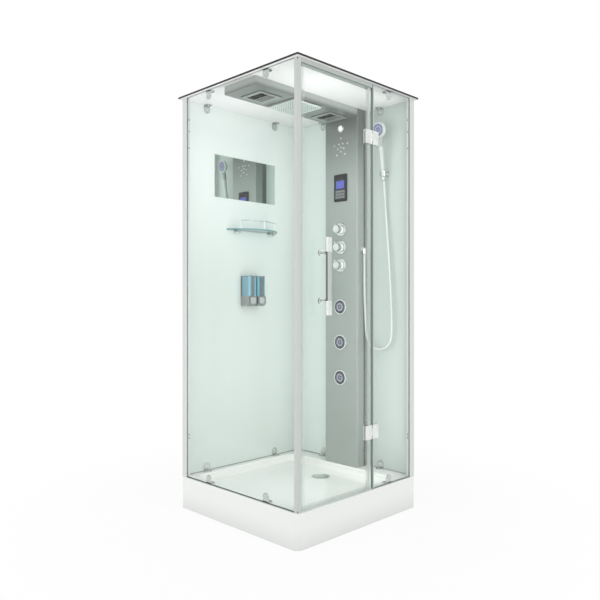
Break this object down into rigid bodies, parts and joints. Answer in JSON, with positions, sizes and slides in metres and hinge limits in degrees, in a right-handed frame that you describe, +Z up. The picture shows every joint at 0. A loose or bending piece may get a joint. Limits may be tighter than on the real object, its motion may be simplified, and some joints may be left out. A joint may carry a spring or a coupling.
{
  "type": "steam shower cabin",
  "caption": "Square steam shower cabin: raised tray, clear side and swinging glass door, painted rear walls, function column, flat roof with rain head, vents and shelf",
  "frame": {"origin": "centre of the square tray at floor level", "axes": "+Z up; the door closes the -Y face, the clear side pane the -X face, and the column stands against the +X wall"},
  "size_m": [0.914, 0.952, 2.2],
  "materials": {
    "acrylic": "gloss white",
    "roof_white": "satin white",
    "dark_trim": "dark grey",
    "clear_glass": "clear, faint green",
    "painted_glass": "back-painted mint",
    "aluminium": "satin anodised",
    "chrome": "polished",
    "steel": "brushed",
    "zinc_frame": "galvanised grey",
    "column_grey": "metallic grey lacquer",
    "column_dark": "dark grey lacquer",
    "housing_grey": "light grey gloss",
    "black_plastic": "black",
    "grey_plastic": "mid grey",
    "seal": "grey soft seal",
    "screen_blue": "lit blue screen",
    "jet_blue": "blue violet translucent",
    "hose_white": "smooth white",
    "mirror": "silvered",
    "soap_tank": "translucent blue green",
    "lever_grey": "grey gloss",
    "brass_valve": "raw brass"
  },
  "bodies": {
    "cabin": {"shower_tray": "acrylic", "drain_trap": "grey_plastic", "tray_frame": "zinc_frame", "levelling_feet": "zinc_frame", "corner_post": "aluminium", "rear_corner_profile": "aluminium", "wall_profiles": "aluminium", "side_glass": "clear_glass", "front_fixed_glass": "clear_glass", "rear_wall_glass": "painted_glass", "right_wall_glass": "painted_glass", "rim_seals": "seal", "roof_panel": "roof_white", "roof_edge_trim": "dark_trim", "header_rail": "aluminium", "glass_brackets": "chrome", "bracket_screws": "chrome", "hinge_fixed_leaves": "chrome", "column_panel": "column_grey", "column_base": "column_dark", "column_lamp": "chrome", "shoulder_nozzles": "chrome", "control_panel": "black_plastic", "panel_display": "screen_blue", "panel_keypad": "grey_plastic", "knob_rosettes": "chrome", "mixer_valves": "brass_valve", "water_pipes": "steel", "jet_bezels": "chrome", "steam_generator": "steel", "hose_outlet": "chrome", "shower_hose": "hose_white", "handset_holder": "chrome", "overhead_housing": "housing_grey", "vent_grilles": "housing_grey", "rain_head": "chrome", "fan_frame": "black_plastic", "mirror": "mirror", "shelf_glass": "clear_glass", "shelf_brackets": "chrome", "shelf_rail": "chrome", "dispenser_mount": "steel", "dispenser_reservoirs": "soap_tank"},
    "door": {"door_glass": "clear_glass", "door_seals": "seal", "door_handle": "chrome", "door_handle_roses": "chrome", "hinge_door_leaves": "chrome"},
    "upper_knob": {"upper_knob": "chrome"},
    "middle_knob": {"middle_knob": "chrome"},
    "lower_knob": {"lower_knob": "chrome"},
    "upper_jet": {"upper_jet": "jet_blue"},
    "middle_jet": {"middle_jet": "jet_blue"},
    "lower_jet": {"lower_jet": "jet_blue"},
    "handset": {"handset": "hose_white", "handset_face": "jet_blue"},
    "left_dispenser_lever": {"left_dispenser_lever": "lever_grey"},
    "right_dispenser_lever": {"right_dispenser_lever": "lever_grey"},
    "fan_rotor": {"fan_rotor": "black_plastic"},
    "drain_cover": {"drain_cover": "chrome"}
  },
  "joints": [
    {"name": "door_hinge", "type": "hinge", "parent": "cabin", "child": "door", "pos_m": [0.074, -0.437, 1.1875], "axis": [0, 0, 1], "range_deg": [0, 90]},
    {"name": "temperature_turn", "type": "hinge", "parent": "cabin", "child": "upper_knob", "pos_m": [0.32, -0.003, 1.516], "axis": [-1, 0, 0], "range_deg": [-60, 120]},
    {"name": "flow_turn", "type": "hinge", "parent": "cabin", "child": "middle_knob", "pos_m": [0.32, -0.003, 1.413], "axis": [-1, 0, 0], "range_deg": [0, 90]},
    {"name": "diverter_turn", "type": "hinge", "parent": "cabin", "child": "lower_knob", "pos_m": [0.32, -0.003, 1.31], "axis": [-1, 0, 0], "range_deg": [0, 270]},
    {"name": "upper_jet_tilt", "type": "hinge", "parent": "cabin", "child": "upper_jet", "pos_m": [0.35, -0.003, 1.071], "axis": [0, 1, 0], "range_deg": [-12, 12]},
    {"name": "middle_jet_tilt", "type": "hinge", "parent": "cabin", "child": "middle_jet", "pos_m": [0.35, -0.003, 0.868], "axis": [0, 1, 0], "range_deg": [-12, 12]},
    {"name": "lower_jet_tilt", "type": "hinge", "parent": "cabin", "child": "lower_jet", "pos_m": [0.35, -0.003, 0.665], "axis": [0, 1, 0], "range_deg": [-12, 12]},
    {"name": "handset_lift", "type": "slide", "parent": "cabin", "child": "handset", "axis": [-0.1392, 0, 0.9903], "range_m": [0, 0.08]},
    {"name": "left_lever_push", "type": "slide", "parent": "cabin", "child": "left_dispenser_lever", "axis": [0, 1, 0], "range_m": [0, 0.006], "stiffness_N_per_m": 300, "springref_m": -0.003},
    {"name": "right_lever_push", "type": "slide", "parent": "cabin", "child": "right_dispenser_lever", "axis": [0, 1, 0], "range_m": [0, 0.006], "stiffness_N_per_m": 300, "springref_m": -0.003},
    {"name": "fan_spin", "type": "hinge", "parent": "cabin", "child": "fan_rotor", "pos_m": [-0.258, 0.007, 2.158], "axis": [0, 0, 1], "continuous": true},
    {"name": "drain_cover_lift", "type": "slide", "parent": "cabin", "child": "drain_cover", "axis": [0, 0, 1], "range_m": [0, 0.04]}
  ]
}
